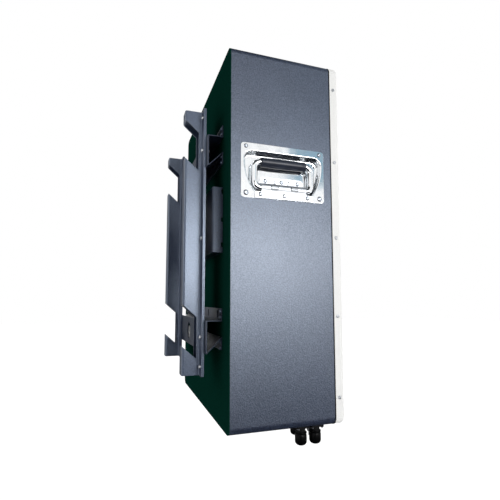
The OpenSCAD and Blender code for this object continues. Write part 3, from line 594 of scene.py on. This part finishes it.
def cross_screw(bm, where, face, spin, width, height):
    """Domed screw head with a cross recess, turned by spin degrees on a face of the box."""
    before = set(bm.verts)
    width, height = width * MM, height * MM
    slot, arm = width * 0.085, width * 0.26
    grid = bmesh.ops.create_grid(bm, x_segments=3, y_segments=3, size=arm)["verts"]
    for vert in grid:
        for axis in (0, 1):
            if abs(vert.co[axis]) < arm * 0.9:
                vert.co[axis] = math.copysign(slot, vert.co[axis])
        vert.co.z = height

    def on_cross(flat):
        middle = flat.calc_center_median()
        return min(abs(middle.x), abs(middle.y)) < slot * 0.5

    cross = [flat for flat in touching(bm.faces, grid) if on_cross(flat)]
    rim = [edge for edge in touching(bm.edges, grid) if edge.is_boundary]
    for share, drop in ((0.62, 0.02), (0.80, 0.16), (0.93, 0.42), (1.0, 0.78), (1.0, 1.0)):
        ends, rim = grown(bm, rim)
        for vert in ends:
            out = vert.co.xy.normalized() * width / 2 * share
            vert.co = (out.x, out.y, height * (1 - drop))
    bmesh.ops.contextual_create(bm, geom=rim)
    sunk = verts_of(bmesh.ops.extrude_face_region(bm, geom=cross)["geom"])
    bmesh.ops.delete(bm, geom=[flat for flat in cross if flat.is_valid], context="FACES")
    bmesh.ops.scale(bm, vec=(0.8, 0.8, 1), verts=sunk)
    bmesh.ops.translate(bm, vec=(0, 0, -height * 0.55), verts=sunk)
    turn = Matrix.Rotation(math.radians(spin), 4, "Z")
    bmesh.ops.transform(bm, matrix=Matrix.Translation(in_row(*where)) @ face @ turn, verts=added(bm, before))


def cover_screws():
    """Pan screws round the white cover's side wall."""
    wide, high, lowest, pitch = 7, 2, 50, 150
    bm = bmesh.new()
    for side in (-1, 1):
        face = Matrix.Rotation(side * math.radians(90), 4, "Y")
        for k in range(5):
            where = (side * HALF_WIDTH, COVER_SCREW_Y, lowest + pitch * k)
            cross_screw(bm, where, face, 17 + 41 * k, wide, high)
    for top in (0, 1):
        face = Matrix.Rotation(0 if top else math.pi, 4, "X")
        for k in (-1, 0, 1):
            cross_screw(bm, (pitch * k, COVER_SCREW_Y, HEIGHT * top), face, 29 + 37 * k, wide, high)
    piece("cover_screw_heads", bm, "screw_zinc", "box", "cover_screws")


def seal_lip():
    """Edge of the foam seal, pressed a little out of the joint between case and cover."""
    wide, proud = 2.4, 0.4
    middle = Matrix.Translation(in_row(0, wide / 2 + JOINT_Y, HEIGHT / 2))
    spread = Vector((2 * (HALF_WIDTH + proud), HEIGHT + 2 * proud, 1000, 1000)) * MM
    bm = bmesh.new()
    bmesh.ops.create_grid(bm, x_segments=1, y_segments=1, size=0.5,
                          matrix=middle @ Matrix.Rotation(math.radians(90), 4, "X") @ Matrix.Diagonal(spread))
    round_off(bm, list(bm.verts), BEND + proud, 8, "VERTICES")
    bmesh.ops.delete(bm, geom=list(bm.faces), context="FACES_ONLY")
    ends, _ = grown(bm, list(bm.edges))
    bmesh.ops.translate(bm, verts=ends, vec=(0, -wide * MM, 0))
    rims = [edge for edge in bm.edges if edge.is_boundary]
    thicken(bm, proud, sideways)
    round_off(bm, rims, 0.3, 3, "EDGES")
    piece("seal_lip", bm, "seal_rubber", "box")


def bracket_bolts():
    """Pan bolts through the rail lips, with chamfered tails where a nut holds a cross member."""
    bolt_x, heights, with_nut = 159, (107, 161, 348, 521, 587), (161, 521)
    tail = [(0, -7), (2.5, -7), (2.5, -12.3), (2.1, -13), (0, -13)]
    bm = bmesh.new()
    for side in (-1, 1):
        for k, z in enumerate(heights):
            where = (side * bolt_x, LIP_Y, z)
            cross_screw(bm, where, TO_WALL, 23 + 53 * k, 8, 3)
            if z in with_nut:
                turned(bm, tail, 20, Matrix.Translation(in_row(*where)) @ TO_WALL)
    piece("bracket_bolts", bm, "screw_zinc", "box", "strip_bolts")


def foot_screws():
    """Pan screws through the feet of the cross members."""
    screw_x, foot_y, members, rises = 177, 2, (133, 485), (9, 20, 65.5, 76.5)
    bm = bmesh.new()
    for low in members:
        for k, rise in enumerate(rises):
            for side in (-1, 1):
                cross_screw(bm, (side * screw_x, foot_y, low + rise), TO_WALL, 11 + 31 * k, 7, 2.2)
    piece("foot_screws", bm, "bracket_paint", "box", "member_screws")


def sealing_caps():
    """Blunt rubber caps: a bore over the neck, a rolled lip, a waist, and two grip ribs down the sides."""
    sockets = ((-203, -147), (-203, -176.5), (-150, -161.75))
    lip = [(0, -20), (8.6, -20), (8.6, -12.6), (10.4, -12.6), (10.9, -13.0), (11.0, -13.6), (11.0, -15.4),
           (10.8, -16.0), (10.4, -16.4), (10.4, -17.6), (10.8, -18.2), (11.0, -19.0)]
    nose = [(4 + 7 * math.cos(math.radians(a)), -30 - 7 * math.sin(math.radians(a))) for a in range(0, 91, 15)]
    rib_x, rib_z, rib_size = 10.9, -24, Vector((1.8, 1.6, 14, 1000)) * MM
    aside = Matrix.Rotation(math.radians(-36), 4, "Z")
    bm = bmesh.new()
    for x, y in sockets:
        at = Matrix.Translation(in_row(x, y, 0))
        turned(bm, lip + nose + [(0, -37)], 40, at)
        for s in (-1, 1):
            before = set(bm.verts)
            rib_at = at @ aside @ Matrix.Translation(Vector((s * rib_x, 0, rib_z)) * MM)
            bmesh.ops.create_cube(bm, size=1, matrix=rib_at @ Matrix.Diagonal(rib_size))
            round_off(bm, touching(bm.edges, added(bm, before)), 0.35, 2, "EDGES")
    piece("sealing_caps", bm, "cap_rubber", "box", "socket_caps")


cover_screws()
seal_lip()
bracket_bolts()
foot_screws()
sealing_caps()


# Floor, light and camera

def seen_white(f):
    """1 for rays that show the background: from the camera, a reflection or through glass."""
    camera_ray, glossy, glass = (f.node("ShaderNodeLightPath", out=f"Is {kind} Ray")
                                 for kind in ("Camera", "Glossy", "Transmission"))
    return camera_ray.math("MAXIMUM", camera_ray.math("MAXIMUM", camera_ray, glossy), glass)


def stage_sheet(name, size, place, skin):
    bm = bmesh.new()
    bmesh.ops.create_grid(bm, x_segments=1, y_segments=1, size=0.5,
                          matrix=place @ Matrix.Diagonal((*size, 1, 1)))
    mesh = bpy.data.meshes.new(name)
    bm.to_mesh(mesh)
    bm.free()
    made = bpy.data.objects.new(name, mesh)
    bpy.context.scene.collection.objects.link(made)
    mesh.materials.append(skin)
    return made


def floor():
    """White floor that still takes the box's shadow, more so near the box."""
    f = material("floor_white")
    glow = f.node("ShaderNodeEmission", None, {"Color": (1, 1, 1, 1), "Strength": 1.36})
    flat = f.node("ShaderNodeBsdfDiffuse", None, {"Color": (0.82, 0.82, 0.82, 1)})
    near = f.node("ShaderNodeTexGradient", {"gradient_type": "SPHERICAL"}, {"Vector": f.place((0.3, 0.3, 0))})
    share = seen_white(f) * (0.75 - f.ramp(near, (0.2, 0), (0.7, 1)) * 0.15)
    skin = f.close(f.node("ShaderNodeMixShader", None, {0: share, 1: flat, 2: glow}))
    stage_sheet("floor", (24, 24), Matrix.Translation((0, 0, -0.85)), skin)


def card(name, where, aim, size, colour):
    """A toned studio card that only reflections see, to give the bright metal its contrast."""
    f = material(name)
    skin = f.close(f.node("ShaderNodeEmission", None, {"Color": colour, "Strength": 1.0}))
    turn = (Vector(aim) - Vector(where)).to_track_quat("Z", "Y").to_matrix().to_4x4()
    made = stage_sheet(name, size, Matrix.Translation(where) @ turn, skin)
    made.visible_camera = made.visible_diffuse = made.visible_shadow = False


def sky():
    """White where it is seen, and a weaker fill for everything it lights."""
    fill = 0.32
    f = Finish(bpy.data.worlds.new("studio"))
    bpy.context.scene.world = f.owner
    f.close(f.node("ShaderNodeBackground", None, {
        "Color": (1, 1, 1, 1), "Strength": fill + seen_white(f) * (1 - fill)}), "ShaderNodeOutputWorld")


def lamp(name, where, aim, size, power):
    data = bpy.data.lights.new(name, "AREA")
    data.shape = "RECTANGLE"
    data.size, data.size_y = size
    data.energy = power
    made = bpy.data.objects.new(name, data)
    bpy.context.scene.collection.objects.link(made)
    made.location = where
    made.rotation_euler = (Vector(aim) - Vector(where)).to_track_quat("-Z", "Y").to_euler()
    made.visible_camera = False


def camera():
    """The photograph's view: behind the left side, low, looking slightly up."""
    data = bpy.data.cameras.new("photo_view")
    data.lens = 27.43
    data.sensor_width = 36
    data.shift_x = 0.004
    data.shift_y = 0.0284
    made = bpy.data.objects.new("photo_view", data)
    bpy.context.scene.collection.objects.link(made)
    made.location = in_row(-870.4, 179.1, 229.6)
    made.rotation_euler = (math.radians(90 + 5.43), 0, math.radians(-108.44))
    bpy.context.scene.camera = made


floor()
sky()
lamp("strip_light", (-2.0, -0.58, 0.17), (-0.2, -0.12, -0.03), (1.3, 0.5), 19)
lamp("right_light", (2.0, -0.7, 0.4), (0.2, -0.15, 0.0), (1.4, 0.9), 15)
lamp("front_light", (0.5, -2.7, 0.7), (0.0, -0.2, 0.0), (1.8, 1.2), 15)
lamp("back_light", (1.4, 2.2, 0.8), (0.0, 0.0, 0.0), (1.4, 1.4), 9)
lamp("top_light", (0.0, -0.3, 2.6), (0.0, -0.15, 0.0), (1.5, 1.5), 8)
card("sky_card", (-2.0, -1.4, 1.09), (0.0, -1.4, 1.09), (0.8, 0.8), paint(142, 172, 190))
card("front_card", (0.6, -1.9, 0.1), (-0.233, -0.1, 0.1), (2.4, 1.6), paint(20, 26, 36))
card("dark_card", (-1.15, 0.22, -0.1), (-0.233, -0.17, 0.1), (0.5, 0.9), paint(18, 22, 30))
card("floor_card", (-1.15, -0.4, -0.84), (-1.15, -0.4, 1.0), (5.5, 3.6), paint(18, 24, 30))
card("rear_card", (1.6, 0.36, 0.3), (0.0, 0.36, 0.3), (0.62, 2.4), paint(14, 26, 24))
card("ceiling", (0, 0.41, 1.6), (0, 0.41, 0), (3.5, 2.3), paint(18, 26, 30))
card("ceiling_front", (0, -1.39, 1.6), (0, -1.39, 0), (3.5, 1.3), paint(128, 138, 146))
camera()
bpy.context.scene.view_settings.view_transform = "Standard"
